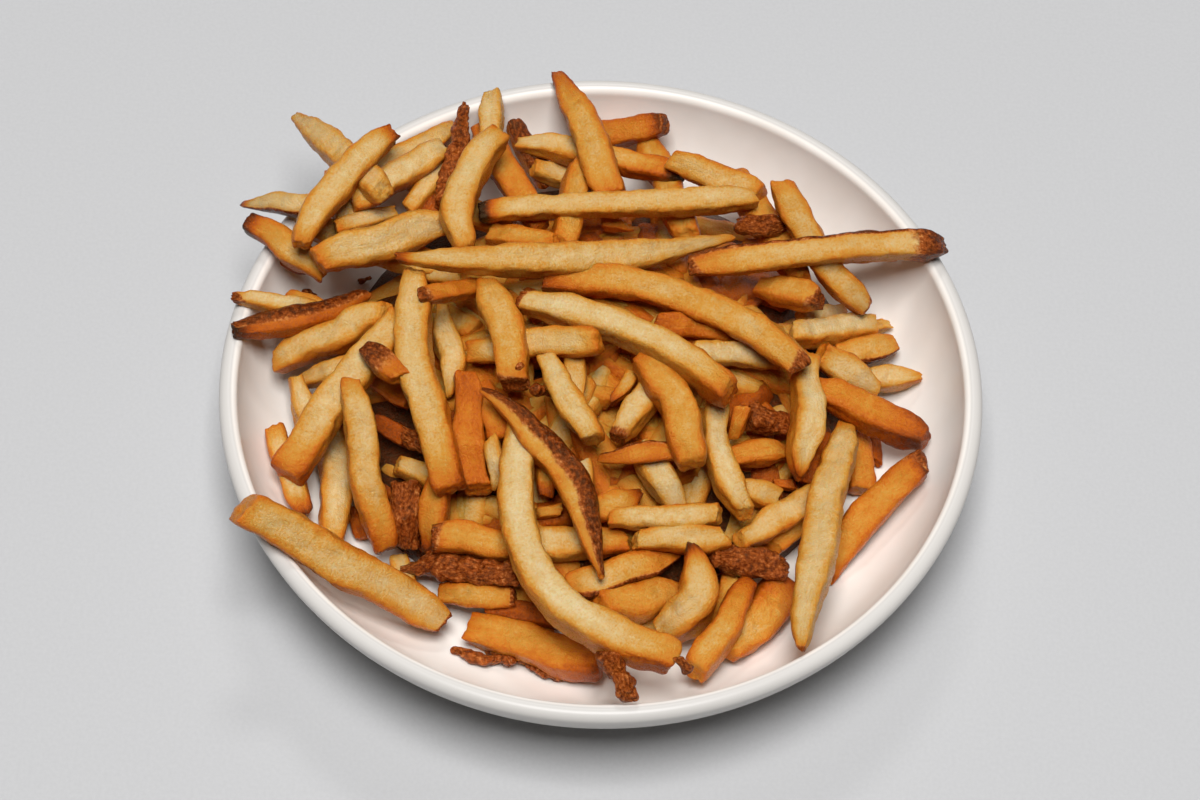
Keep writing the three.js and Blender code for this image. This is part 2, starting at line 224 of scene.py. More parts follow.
# Russet potato, cut in sticks and deep-fried: a thin oily crust, blistered, that lets a
# little light in, cream where it is soft and amber to brown along edges and ends. The
# strips of skin are darker, wrinkled and glossier.
def makeFriedPotato():
    look = friedPotato
    material, tree, surface = newMaterial("deepFriedRussetPotato")

    def mark(name, kind="Fac"):
        return addNode(tree, "ShaderNodeAttribute", {}, attribute_name=name).outputs[kind]

    def stretched(name):
        return addNode(tree, "ShaderNodeMapping", {"Scale": look[name], "Vector": grain}).outputs["Vector"]

    def noise(place, detail, roughness, scale=1):
        return addNode(tree, "ShaderNodeTexNoise", {"Scale": scale, "Detail": detail,
                       "Roughness": roughness, "Vector": place}).outputs["Fac"]

    def calculate(operation, a, b):
        return addNode(tree, "ShaderNodeMath", {0: a, 1: b}, operation=operation).outputs[0]

    def swing(source, amount):  # a 0 to 1 pattern as plus or minus
        return calculate("MULTIPLY", calculate("SUBTRACT", source, 0.5), amount)

    def total(a, b):
        return calculate("ADD", a, b)

    grain, tone, skin = mark("grain", "Vector"), mark("tone"), mark("skin")
    streaks = noise(stretched("streak"), 4, 0.6)
    creases = noise(stretched("crease"), 3, 0.5)
    wrinkles = noise(stretched("wrinkle"), 4, 0.6)
    blotches = noise(grain, 3, 0.55, look["blotch"])
    mottles = noise(grain, 3, 0.6, look["mottle"])
    blisters = noise(grain, 5, 0.65, look["blister"])

    swings = look["swing"]
    broad = total(swing(streaks, swings["streak"]), swing(blotches, swings["blotch"]))
    small = total(swing(mottles, swings["mottle"]), swing(blisters, swings["blister"]))
    browned = total(tone, total(swing(creases, swings["crease"]), total(broad, small)))
    browning = addNode(tree, "ShaderNodeValToRGB", {"Fac": browned})
    fillRamp(browning, look["browning"])

    fullSkin, lightening, mottling = look["skinShade"]
    lighter = calculate("MULTIPLY", calculate("SUBTRACT", fullSkin, skin), lightening)
    skinShade = total(wrinkles, total(lighter, swing(mottles, mottling)))
    skinColour = addNode(tree, "ShaderNodeValToRGB", {"Fac": skinShade})
    fillRamp(skinColour, look["skin"])
    torn = total(skin, total(swing(blotches, look["tear"][0]), swing(mottles, look["tear"][1])))
    low, high = look["tearFrom"]
    skinMask = addNode(tree, "ShaderNodeMapRange",
                       {"From Min": low, "From Max": high, "Value": torn}).outputs["Result"]
    colour = addNode(tree, "ShaderNodeMix", {0: skinMask, 6: browning.outputs["Color"],
                     7: skinColour.outputs["Color"]}, data_type="RGBA")

    (low, high), (sharp, dull) = look["glossFrom"], look["gloss"]
    gloss = addNode(tree, "ShaderNodeMapRange", {"From Min": low, "From Max": high, "To Min": sharp,
                    "To Max": dull, "Value": blisters}).outputs["Result"]
    oily = addNode(tree, "ShaderNodeMix", {0: skinMask, 2: gloss, 3: look["skinGloss"]})

    deep = look["bump"]
    fine = addNode(tree, "ShaderNodeBump",
                   {"Strength": 1, "Distance": deep["blister"] * mm, "Height": blisters})
    creased = addNode(tree, "ShaderNodeBump", {"Strength": 1, "Distance": deep["crease"] * mm,
                      "Height": creases, "Normal": fine.outputs["Normal"]})
    coarse = addNode(tree, "ShaderNodeBump", {"Strength": skinMask, "Distance": deep["wrinkle"] * mm,
                     "Height": wrinkles, "Normal": creased.outputs["Normal"]})

    setInputs(tree, surface, {
        "Base Color": colour.outputs[2],
        "Roughness": oily.outputs[0],
        "Normal": coarse.outputs["Normal"],
        "IOR": 1.45,    # cooking oil and starch
        "Specular IOR Level": look["specular"],
        "Specular Tint": linear(look["oil"]),
        "Subsurface Weight": look["subsurface"],
        "Subsurface Radius": look["redder"],
        "Subsurface Scale": look["reach"] * mm,
    })
    return material


porcelain = {
    "glaze": ((0.35, "#f6f1ea"), (0.65, "#f1ebe3")),
    "thin": "#d0ccc7",      # greyer on the lip and outside: painted shade that tones down the lip and deepens the shade under the rim
    "clay": "#cfc6ba",
    "footLine": 0.6,        # mm, bare clay below it
    "ripple": 1 / 14,       # per mm
    "rippleDepth": 0.2,     # mm
    "rippleStrength": 0.25,
    "roughness": (0.3, 0.75),   # of the glaze and of bare clay
    "specular": 0.22,
}


# Porcelain, cast and dipped in clear glaze: smooth and bright with a soft gloss, a faint
# ripple where the glaze pooled, and dull bare clay under the foot; lip and outside greyer as painted shade.
def makePorcelain():
    look = porcelain
    material, tree, surface = newMaterial("glazedPorcelain")
    place = addNode(tree, "ShaderNodeTexCoord", {}).outputs["Object"]
    ripple = addNode(tree, "ShaderNodeTexNoise",
                     {"Scale": look["ripple"] / mm, "Detail": 2, "Vector": place}).outputs["Fac"]
    height = addNode(tree, "ShaderNodeSeparateXYZ", {"Vector": place}).outputs["Z"]
    foot = look["footLine"] * mm
    bare = addNode(tree, "ShaderNodeMapRange",
                   {"From Min": foot, "From Max": foot * 0.7, "Value": height}).outputs["Result"]
    glaze = addNode(tree, "ShaderNodeValToRGB", {"Fac": ripple})
    fillRamp(glaze, look["glaze"])
    well = addNode(tree, "ShaderNodeAttribute", {}, attribute_name="well").outputs["Fac"]
    # painted shade: the lip and the outside take the greyer colour
    glazed = addNode(tree, "ShaderNodeMix", {0: well, 6: linear(look["thin"]), 7: glaze.outputs["Color"]},
                     data_type="RGBA")
    colour = addNode(tree, "ShaderNodeMix", {0: bare, 6: glazed.outputs[2], 7: linear(look["clay"])},
                     data_type="RGBA")
    sharp, dull = look["roughness"]
    rough = addNode(tree, "ShaderNodeMapRange", {"To Min": sharp, "To Max": dull, "Value": bare})
    bump = addNode(tree, "ShaderNodeBump", {"Strength": look["rippleStrength"],
                   "Distance": look["rippleDepth"] * mm, "Height": ripple})
    setInputs(tree, surface, {
        "Base Color": colour.outputs[2],
        "Roughness": rough.outputs["Result"],
        "Normal": bump.outputs["Normal"],
        "IOR": 1.5,
        "Specular IOR Level": look["specular"],
    })
    return material


board = {
    "tooth": 900,           # per metre
    "shades": ((0.3, "#bbbbbc"), (0.7, "#bfbfc0")),
    "roughness": 0.9,
}


# Matt grey-white backdrop board, the same all over but for a paper tooth too fine to see
def makeBackdrop():
    material, tree, surface = newMaterial("mattBackdropBoard")
    place = addNode(tree, "ShaderNodeTexCoord", {}).outputs["Object"]
    tooth = addNode(tree, "ShaderNodeTexNoise", {"Scale": board["tooth"], "Detail": 2, "Vector": place})
    shade = addNode(tree, "ShaderNodeValToRGB", {"Fac": tooth.outputs["Fac"]})
    fillRamp(shade, board["shades"])
    setInputs(tree, surface, {"Base Color": shade.outputs["Color"], "Roughness": board["roughness"]})
    return material


potato = makeFriedPotato()
glazedWhite = makePorcelain()
backdrop = makeBackdrop()
print("materials made")


# bowl

bowl = {                    # mm
    "radius": 110,
    "height": 40,
    "rimRadius": 2.7,       # of the rounded lip
    "flatRadius": 36,
    "floorRadius": 70,      # where the wall starts to rise
    "floorHeight": 7,
    "wallEnd": 78,          # degrees that the wall has reached at the lip, inside and outside
    "outerEnd": 80,
    "footOuter": 62,
    "footInner": 55,
    "footHeight": 2.2,
    "footRound": 2,
    "footBevel": (0.6, 0.5),    # wide and high
    "baseRecess": 2,
    "innerSteps": 24,
    "lipSteps": 12,
    "outerSteps": 20,
    "turns": 200,           # steps around
}

lipRadius = bowl["radius"] - bowl["rimRadius"]
lipHeight = bowl["height"] - bowl["rimRadius"]


def wallCurve(r0, z0, r1, z1, end, steps):  # quarter-oval, flat at its start and `end` degrees steep
    width = (r1 - r0) / math.sin(math.radians(end))
    rise = (z1 - z0) / (1 - math.cos(math.radians(end)))
    angles = [math.radians(end) * i / steps for i in range(steps + 1)]
    return [(r0 + width * math.sin(a), z0 + rise * (1 - math.cos(a))) for a in angles]


def innerCurve(steps):
    return wallCurve(bowl["floorRadius"], bowl["floorHeight"], lipRadius - bowl["rimRadius"], lipHeight,
                     bowl["wallEnd"], steps)


def lipCurve(steps):
    angles = [math.pi * (1 - i / steps) for i in range(1, steps)]
    return [(lipRadius + bowl["rimRadius"] * math.cos(a), lipHeight + bowl["rimRadius"] * math.sin(a))
            for a in angles]


def outerCurve(steps):
    start = bowl["footOuter"] + bowl["footRound"]
    return wallCurve(start, bowl["footHeight"], bowl["radius"], lipHeight, bowl["outerEnd"], steps)[::-1]


def bowlProfile():
    inner, outer = bowl["footInner"], bowl["footOuter"]
    floor, recess = bowl["floorHeight"], bowl["baseRecess"]
    wide, high = bowl["footBevel"]
    return [(0, floor), (bowl["flatRadius"], floor), *innerCurve(bowl["innerSteps"]),
            *lipCurve(bowl["lipSteps"]), *outerCurve(bowl["outerSteps"]),
            (outer, high), (outer - wide, 0), (inner + wide, 0), (inner, high),
            (inner - recess / 2, recess), (0, recess)]


def modelBowl():
    profile = bowlProfile()
    deselectAll()
    bpy.ops.mesh.primitive_plane_add(size=1 * mm, location=(0, 0, 0))
    piece = bpy.context.object
    piece.name = "servingBowl"
    bpy.ops.object.mode_set(mode="EDIT")
    bpy.ops.mesh.merge(type="CENTER")
    bpy.ops.transform.translate(value=(0, 0, profile[0][1] * mm))
    for (r0, z0), (r1, z1) in zip(profile, profile[1:]):
        step = ((r1 - r0) * mm, 0, (z1 - z0) * mm)
        bpy.ops.mesh.extrude_vertices_move(TRANSFORM_OT_translate={"value": step})
    bpy.ops.mesh.select_all(action="SELECT")
    bpy.ops.mesh.spin(steps=bowl["turns"], angle=2 * math.pi, center=(0, 0, 0), axis=(0, 0, 1))
    bpy.ops.mesh.select_all(action="SELECT")
    bpy.ops.mesh.remove_doubles(threshold=0.01 * mm)
    bpy.ops.mesh.normals_make_consistent(inside=False)
    bpy.ops.object.mode_set(mode="OBJECT")
    bpy.ops.object.shade_smooth_by_angle(angle=math.radians(50))
    well = [float(v.normal.z > 0 and math.hypot(v.co.x, v.co.y) < (lipRadius - bowl["rimRadius"] / 2) * mm)
            for v in piece.data.vertices]
    piece.data.attributes.new("well", "FLOAT", "POINT").data.foreach_set("value", well)
    piece.data.materials.append(glazedWhite)
    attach(piece, "root")
    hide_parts("bowl")
    return piece


servingBowl = modelBowl()
print("bowl modelled:", triangles(servingBowl), "triangles")


# laying the fries, as a diner sees them: across (u) and up (v) the view, then let down along
# the line of sight until they rest

bed = {                     # the rounded middle that they rest on, in mm
    "x": -2,
    "y": 14,
    "radius": 80,
    "stretch": 1.06,        # longer across than towards the diner
    "peak": 44,
    "roundness": 0.9,
    "steps": 8,
}

fit = {
    "gap": 0.35,            # mm kept clear of the bowl
    "bite": 1.6,            # mm that a fry presses into those below
    "pass": 1.2,            # how far apart fries pass one another, to those that touch
    "ballStep": 2.6,        # mm between the balls that stand for a fry
    "steepest": 26,         # degrees
    "level": 0.15,          # how much a level fry is preferred
    "slopes": 10,           # slopes tried each way
    "droop": 3,             # mm that an end may hang
    "stiff": 0.05,          # share of the middle that doesn't hang
    "ceiling": 120,         # mm, where a fry is let down from
    "lower": 0.5,           # mm for each step down
    "roll": 14,             # degrees either way
    "toDiner": 0.6,         # share of the turn that shows the diner a broad side
    "tip": 0.35,            # width of a pointed end, and the share of the length that narrows
    "tipLength": 0.35,
    "cornerShow": 0.8,      # how much wider a fry looks over its corner
    "eyeLevel": 40,         # mm, where widths are judged
    "wallSteps": 8,
    "lipSteps": 5,
}

stick = {
    "thick": 8,                 # mm, and each copy is scaled to its own
    "lengths": (8, 14, 24, 40, 64, 100),
    "ring": {1: 6, 2: 3},       # mm between cuts across the stick, plain or finely smoothed
    "across": {1: 1, 2: 2},     # cuts along each side
    "endCrease": (0.05, 0.6),   # how sharp a cut end stays; the long edges are rounded off
    "uneven": 0.45,             # mm that any point is off
    "slant": 24,                # degrees that a cut end may lean
    "belly": 1.0,               # mm that a side with skin bulges
    "ridge": (1.8, 0.45),       # mm, grain and depth of the wrinkles along it
    "ridgeStretch": 3,          # how much longer they are than wide
    "ridgeApart": 23,           # mm, so that no two sticks share their wrinkles
    "cornerShow": 0.3,          # how much of a corner shows once it is rounded off
    "plump": 1.03,              # makes up for the corners that are rounded off
    "crustPlump": 0.9,
    "wedge": 0.14,              # most that one side is higher than the other
    "wave": (0.02, 0.07),       # how much the width comes and goes, and how often
    "waves": (0.7, 1.8),
    "twist": 16,                # degrees over the whole length
    "sway": (0.2, 0.8),         # mm off its line, and how often
    "swayWaves": (0.8, 2.2),
    "swayFrom": 25,             # mm, shorter fries are straight
    "pinch": (0.08, 0.5),       # how much an end narrows
    "pinchReach": (4, 9),       # mm over which it does
    "round": (0.5, 3.5),        # both at a rounded end
    "square": (0.05, 4),        # and at a square one
    "flat": (0.92, 1.1),        # how much it is widened, and lowered by the same
    "variants": 3,              # of each length
    "seed": 97,
}

# From the bottom of the heap to the top: from u, from v, to u, to v, width, sideways bow, look.
# In a look, From and To are the two ends: point and round narrow them, square doesn't, cap and
# skin leave skin on them, warm, tan, dark and burnt brown them. L and R are the sides left and
# right of the fry's direction and T is its top: edge browns a side and adds painted shade to it, thin and
# skin leave skin.
# The deep rows' browner looks were read where the heap lies in shade: partly browning, partly painted shade.
deepFries = [
    (-31, -44, -13, -72, 8, 0, "amber"),
    (8, -47, -4, -74, 8, 0, "amber"),
    (-56, -47, -51, -62, 6, 0, "gold"),
    (38, 44, 84, 46, 8, 0, "gold"),
    (44, -40, 36, -67, 8, 0, "amber"),
    (-64, 66, -28, 47, 8.5, 0, "gold"),
    (-86, 47, -46, 35, 8.5, 0, "gold"),
    (-38, 77, -18, 48, 8.5, 0, "amber"),
    (10, 77, 24, 46, 8.5, 0, "amber"),
    (36, 66, 58, 34, 8.5, 0, "amber"),
    (-92, 26, -56, 10, 8.5, 0, "gold"),
    (-78, 62, -70, 36, 8.5, 0, "gold"),
    (-58, 44, -38, 62, 8, 0, "brown"),
    (14, 23, 46, 21, 7, 0, "orange"),
    (24, 15, 53, 14, 7.5, 0, "pale"),
    (43, 34, 63, 31, 9, 0, "amber capTo"),
    (-8, 13, -7, -3, 8, 0, "gold"),
    (9, 8, 2, -1, 5, 1, "gold darkTo"),
    (-38, 12, 0, 17, 8, 1, "pale"),
    (-34, 4, -28, -13, 7, 0, "orange"),
    (-31, -11, -28, -27, 6.5, 0, "pale"),
    (11, -12, 25, -32, 9.5, 0, "pale"),
    (0, -16.5, 28, -14, 5.5, 0.5, "orange pointFrom thinL"),
    (42, -3.5, 56, -6, 9.5, 0, "crust"),
    (41, 0, 38.5, -10.5, 6.5, 0, "orange"),
    (36, -16, 55, -13.5, 9, 1, "amber pointTo"),
    (66, -7, 60, -23, 6.5, 0, "brown"),
    (50, -22, 58, -22.5, 4, 0, "brown"),
    (74, -7, 76, -24, 8, 0, "amber"),
    (78, -5, 79.5, -16, 5.5, 0, "brown"),
    (-4, -17, -3, -29, 5.5, 0, "pale"),
    (-4, -32, 13, -25.5, 9, -1.5, "gold pointTo darkFrom darkTo"),
    (56, 25.5, 69, 28.5, 4.5, 0, "pale"),
    (38, 50.5, 53, 52.5, 9, 0, "crust pointTo"),
    (-66, 6, -54, -3, 7, 0, "orange"),
    (-67, 12, -55, 3, 8, 0, "orange capFrom"),
    (-85, 2, -66, 10, 6.5, 0, "pale"),
    (-87.5, 4, -82, -15, 8, 0, "pale"),
    (-64, -8.5, -54, -13.5, 7, 0, "brown"),
    (-57, -11, -45, -17, 8, 0, "crust"),
    (-59, -20, -44, -26, 7.5, 0, "pale"),
    (-55, -25, -53, -44, 9.5, 0, "crust"),
    (-70, -34, -66, -43, 5, 0, "brown"),
    (-30, -60, -8, -63.5, 6, 0, "brown"),
]

middleFries = [
    (-57, 51, -46, 67, 7, 0, "pale"),
    (-74, 59, -44, 76.5, 7, 0, "pale"),
    (-74, 53.5, -46, 71, 9, 0, "pale edgeR"),
    (-41.5, 83, -48.5, 53, 6, 1.5, "crust"),
    (-90, 78, -64, 57, 9, 0, "pale pointFrom"),
    (-104.5, 52.5, -78, 53, 6.5, 0, "pale pointFrom darkFrom thinR"),
    (-102.5, 48, -79, 32.5, 9, 0, "gold warmFrom darkFrom"),
    (-93, 36.5, -86, 33, 4, 0, "brown"),
    (-78, 46, -60, 51.5, 6, 0, "pale"),
    (-107, 25.5, -82, 23, 6, 0, "pale capFrom"),
    (-106.5, 16.5, -68, 28.5, 6.5, -3, "brown darkFrom skinL"),
    (-34, 87, -34, 70, 7.5, 0, "pale"),
    (-28.3, 79, -16.8, 60.3, 7.5, 0, "gold skinT"),
    (-27, 72, 22, 65, 7.5, 1.2, "pale tanTo darkTo roundTo"),
    (-22, 66, -6, 61.5, 8, 0, "pale"),
    (-7, 70, -13, 42, 8, 0, "amber capFrom"),
    (-5, 74.5, 16.5, 80, 8, 0, "orange darkTo capTo"),
    (17, 70, 45, 59.5, 8, 0, "pale"),
    (-34, 46.5, -13, 44.5, 7, 0, "amber"),
    (-2, 50.5, 8, 50, 5, 0, "orange"),
    (-94, 7, -60, 23.5, 10, 0, "pale"),
    (-93.5, -11, -82.5, -37, 7, 0, "pale darkTo"),
    (-78, -9, -76, -45, 9.5, 2.5, "pale"),
    (-51, 33.5, -40, 33.5, 5, 0, "pale"),
    (-46.5, 25, -42.5, -1, 7.5, 1, "pale pointTo edgeL"),
    (-45, -22, -48, -45.5, 8, 0, "amber pointTo darkTo"),
    (76, 23.5, 83, 25, 5, 0, "gold"),
    (53, 21, 79.5, 23.5, 8, 0, "pale"),
    (66, 14.5, 85, 19.5, 8, 0, "gold roundTo thinR"),
    (59, 7, 94.3, -8.5, 10, 0, "amber warmTo"),
    (74, 8.5, 92.5, 10, 8.5, 0, "pale pointTo edgeR"),
    (62, 16, 79.5, 5.5, 9.5, 0, "pale"),
    (49, 65.3, 75.8, 27.8, 9, -2.5, "gold capTo"),
    (55, -51, 39, -71.5, 11, 0, "gold warmFrom"),
    (49, -42, 61, -32, 6.5, 0, "amber"),
    (3, -34.5, 37, -31.5, 7, 0, "pale"),
    (-20, -42, 10, -40.5, 8.5, 0, "pale warmTo"),
    (8, -67, 31, -61, 8, 0, "gold"),
    (1, -60, 27, -54.5, 12, 0, "amber"),
    (15, 3.5, 4.5, -11.5, 9, 0, "pale capTo"),
    (-15.5, -12, -14.5, -29, 5.5, 0, "gold darkTo"),
    (-18.5, -33.5, -9, -31.5, 6, 0, "amber"),
    (-20.5, -75.5, -7, -80, 3.5, 0, "crust"),
    (-43, -57, -21, -57.5, 7.5, 0, "gold capTo"),
]

topFries = [
    (-83.5, 36.5, -45.5, 49.5, 10.5, 0, "pale edgeR"),
    (-61, 74.5, -87.5, 40.5, 8.5, -3.5, "pale darkFrom"),
    (-30, 75, -40, 41, 9, -6.5, "pale"),
    (-15.6, 93.5, 1.5, 58, 9.3, 0.8, "gold pointFrom warmFrom"),
    (-37, 52, 43.5, 59, 7.5, 1, "pale burntFrom"),
    (-58, 23, -90, -26, 9.5, 0, "pale warmTo squareTo"),
    (-71, 4, -59.5, -46.5, 9.2, -1.5, "pale warmTo capTo"),
    (-55, 37, -40.5, -28, 9, -3.8, "pale warmTo squareTo"),
    (-54, 27.5, -36, 31, 6, 0, "orange capFrom"),
    (-33.5, 33, -23.5, 2, 9, 1, "gold capTo"),
    (-39, 7, -34, -28.5, 8, -0.5, "orange squareTo"),
    (-16.3, 11.5, -1.2, -13, 8.2, 0.5, "pale edgeL edgeR"),
    (9.5, 13, 26.4, -18.5, 10, 4.5, "amber"),
    (59.3, 15, 58, -21.5, 9.8, 0.5, "pale pointTo darkTo"),
    (38, -23, 52, -26.5, 8.5, 0, "gold"),
    (94.5, -13.5, 67, -50, 9.3, -3.3, "amber pointTo darkFrom capFrom"),
    (63.5, -24.5, 40.5, -40, 8, 0, "pale edgeL"),
    (34.5, 5, 44.5, -32.5, 8, -5.4, "pale edgeR"),
    (10.5, -39.5, 39.5, -38.5, 8.5, 0, "pale edgeL"),
    (-24, 27.5, 38.5, 2.5, 9.5, 4.5, "pale capFrom warmTo squareTo"),
    (-18.5, 33, 58.5, 10.5, 9.7, 9, "gold warmFrom capTo"),
    (23.5, 39, 98.5, 47.5, 8, 2.1, "gold capFrom warmFrom skinTo roundTo thinL"),
    (-60.5, 39, 36.5, 48.5, 9.5, -4.3, "gold pointFrom pointTo darkFrom"),
    (70.5, -5, 59.6, -70.5, 9.8, -0.8, "pale pointTo capTo roundTo"),
    (45.2, -50.5, 30, -78.5, 9, 0, "gold edgeR warmFrom"),
    (32.5, -44.5, 56, -47, 9, 1, "crust"),
    (-47, -40.5, -20, -43, 9, 0, "amber capFrom edgeL"),
    (-55.5, -50, -20, -52, 9, 1.5, "crust pointFrom"),
    (-102, -33.5, -41.8, -65.5, 10.6, 0, "pale capTo edgeR squareFrom"),
    (28, -39.5, 20, -68, 11.5, 5.5, "pale pointFrom darkFrom edgeL edgeR"),
    (-8, -54, 25, -43.5, 8.5, 0, "gold pointTo warmTo thinR"),
    (-34.5, -66, 4, -76.5, 10.5, 0, "amber warmTo"),
    (5, -72.5, 11.5, -85, 6.5, 0, "crust"),
    (-22, -7, 25.5, -73.5, 10.5, -20.3, "pale warmTo edgeR squareTo"),
    (-34.5, 1.5, 2, -51.5, 8.5, 7.5, "amber pointFrom pointTo skinL"),
]


def makeRandom(seed):
    state = seed
    while True:
        state = state * 16807 % 2147483647
        yield state / 2147483647


turns = makeRandom(5813)  # one draw for each fry
skyward = np.array((0, 0, 1.0))


def unit(vector):
    return vector / np.linalg.norm(vector, axis=-1, keepdims=True)


def sightLines(places):  # unit directions in which the diner sees (u, v)
    return unit(forward * camera["distance"] + places[:, :1] * across + places[:, 1:] * upView)


def seenAt(places, heights):
    lines = sightLines(places)
    return eye + lines * ((heights - eye[2]) / lines[:, 2])[:, None]


def profileDistance(r, z, profile):
    nearest = np.full(r.shape, np.inf)
    for (ax, az), (bx, bz) in zip(profile, profile[1:]):
        share = ((r - ax) * (bx - ax) + (z - az) * (bz - az)) / ((bx - ax) ** 2 + (bz - az) ** 2)
        share = np.clip(share, 0, 1)
        nearest = np.minimum(nearest, np.hypot(r - ax - share * (bx - ax), z - az - share * (bz - az)))
    return nearest


def bedHeight(r):
    floor = bowl["floorHeight"] + fit["gap"]
    return floor + (bed["peak"] - floor) * np.maximum(0, 1 - (r / bed["radius"]) ** 2) ** bed["roundness"]


bowlInside = [(0, bowl["floorHeight"]), *innerCurve(fit["wallSteps"]), *lipCurve(fit["lipSteps"])]
bedRadii = [bed["radius"] * math.sin(math.pi / 2 * i / bed["steps"]) for i in range(bed["steps"] + 1)]
bedTop = [(r, float(bedHeight(r))) for r in bedRadii]


def meetsSurface(places, radii):  # heights at which balls let down the line of sight touch bowl or bed
    levels = np.arange(fit["ceiling"], 0, -fit["lower"])
    lines = sightLines(places)
    points = eye + lines[:, None] * ((levels - eye[2]) / lines[:, 2:])[:, :, None]
    x, y, z = points[..., 0], points[..., 1], points[..., 2]
    onBowl = profileDistance(np.hypot(x, y), z, bowlInside) < radii[:, None] + fit["gap"]
    fromBed = np.hypot((x - bed["x"]) / bed["stretch"], y - bed["y"])
    onBed = profileDistance(fromBed, z, bedTop) < radii[:, None] - fit["bite"] / 2
    met = (onBowl | onBed) & (levels > radii[:, None])
    return np.where(met.any(1), levels[met.argmax(1)], radii)


ballCentres = np.zeros((0, 3))
ballRadii = np.zeros(0)


def meetsBalls(places, radii):  # the same onto the balls of the fries laid before
    if not len(ballRadii):
        return np.zeros(len(places))
    lines = sightLines(places)
    toBall = ballCentres - eye
    reach = radii[:, None] + ballRadii - fit["bite"]
    along = lines @ toBall.T
    apart = ((toBall ** 2).sum(1) - along ** 2) * fit["pass"] ** 2
    depth = along - np.sqrt(np.maximum(reach ** 2 - apart, 0))
    heights = np.where(apart < reach ** 2, eye[2] + lines[:, 2:] * depth, 0)
    return np.maximum(heights.max(1), 0)


def restOn(heights, steepest):  # the straight line over the heights that lies low and near level
    share = np.linspace(0, 1, len(heights))
    best = (math.inf, 0, 0)
    for step in range(-fit["slopes"], fit["slopes"] + 1):
        slope = steepest * step / fit["slopes"]
        start = (heights - slope * share).max()
        cost = start + slope / 2 + fit["level"] * abs(slope)
        if cost < best[0]:
            best = (cost, start, slope)
    return best[1] + best[2] * share


def droopEnds(line, heights):  # lets each end hang until it meets something
    share = (2 * np.linspace(0, 1, len(line)) - 1) ** 2
    first = np.arange(len(line)) < (len(line) - 1) / 2
    hang = np.zeros(len(line))
    for end in (first, ~first):
        free = end & (share > fit["stiff"])
        room = ((line - heights)[free] / share[free]).min()
        hang[end] = min(fit["droop"], room)
    return line - share * hang


def taper(share, look):
    def tip(near):
        return fit["tip"] + (1 - fit["tip"]) * np.minimum(1, near / fit["tipLength"])
    atStart = tip(share) if "pointFrom" in look else np.ones_like(share)
    atEnd = tip(1 - share) if "pointTo" in look else np.ones_like(share)
    return np.minimum(atStart, atEnd)


def sectionAxes(along, roll):
    level = unit(np.cross(skyward, along))
    upright = np.cross(along, level)
    wide = level * math.cos(roll) + upright * math.sin(roll)
    tall = upright * math.cos(roll) - level * math.sin(roll)
    return wide, tall


def layFry(row):
    global ballCentres, ballRadii
    fromU, fromV, toU, toV, width, bow, words = row
    look = words.split()
    start, end = np.array((fromU, fromV)), np.array((toU, toV))
    length = math.hypot(toU - fromU, toV - fromV)
    side = np.array((fromV - toV, toU - fromU)) / length
    share = np.linspace(0, 1, max(4, math.floor(length / fit["ballStep"] + 0.5)) + 1)
    places = start + (end - start) * share[:, None] + side * (4 * bow * share * (1 - share))[:, None]

    ends = seenAt(np.array((end, start), float), np.full(2, fit["eyeLevel"]))
    flat = unit(ends[0] - ends[1])
    level, upright = sectionAxes(flat, 0)
    towards = math.atan2(forward @ level, -forward @ upright)
    roll = fit["toDiner"] * towards + math.radians(fit["roll"]) * (2 * next(turns) - 1)
    wide, tall = sectionAxes(flat, roll)
    spread = across * side[0] + upView * side[1]
    facing = abs(wide @ spread) + abs(tall @ spread)
    thick = width / (1 + fit["cornerShow"] * (facing - 1))

    radii = thick / 2 * taper(share, look)
    heights = np.maximum(meetsSurface(places, radii), meetsBalls(places, radii))
    line = droopEnds(restOn(heights, length * math.tan(math.radians(fit["steepest"]))), heights)
    centres = seenAt(places, line)
    ballCentres = np.vstack((ballCentres, centres))
    ballRadii = np.append(ballRadii, radii)
    plump = (1 + fit["cornerShow"] * (facing - 1)) / (1 + stick["cornerShow"] * (facing - 1))
    return {"centres": centres, "thick": thick, "plump": plump, "roll": roll, "look": look}


scraps = [  # curls of skin and burnt crumbs
    (-68, 12.5, -56, 3.5, 8, 0, "orange skinFrom roundFrom"),
    (-40, -72.5, -22, -75, 4, -1.5, "crust pointFrom"),
    (-31, -73, -22.5, -76.5, 3, 1, "crust"),
    (24.5, -72.5, 28.5, -77, 3.5, 0, "crust"),
    (-86, 28.5, -82, 26, 2.5, 0, "crust"),
    (-70.5, 31.5, -67, 32.5, 2.5, 0, "crust burntFrom"),
    (-24, 7.5, -22.5, 9.5, 2, 0, "crust burntFrom"),
    (-22, 2.5, -14, 1, 3, 0.6, "crust pointTo"),
]

laidFries = [layFry(row) for row in deepFries + middleFries + topFries + scraps]
print("fries laid:", len(laidFries))


# the fries under those, at random between the middle of the heap and its outline

buried = {
    "layers": ((5, 190), (11, 80)),     # mm under the bed's top, and how many are tried
    "length": (34, 64),                 # mm
    "thick": (6.5, 8.5),                # mm
    "inside": 0.94,                     # share of the bed's radius that they keep to
    "points": 12,
    # browner than most fries on top: partly browning, partly painted shade for the gaps they show through
    "looks": ("gold", "amber", "orange", "brown"),
    "seed": 41,
}


def bowlHeight(r, radius):  # how low the middle of a ball can lie in the bowl
    levels = np.arange(bowl["height"] * 1.5, 0, -fit["lower"])
    r, z = np.broadcast_arrays(r[:, None], levels)
    met = profileDistance(r, z, bowlInside) < radius + fit["gap"]
    return levels[met.argmax(1)]


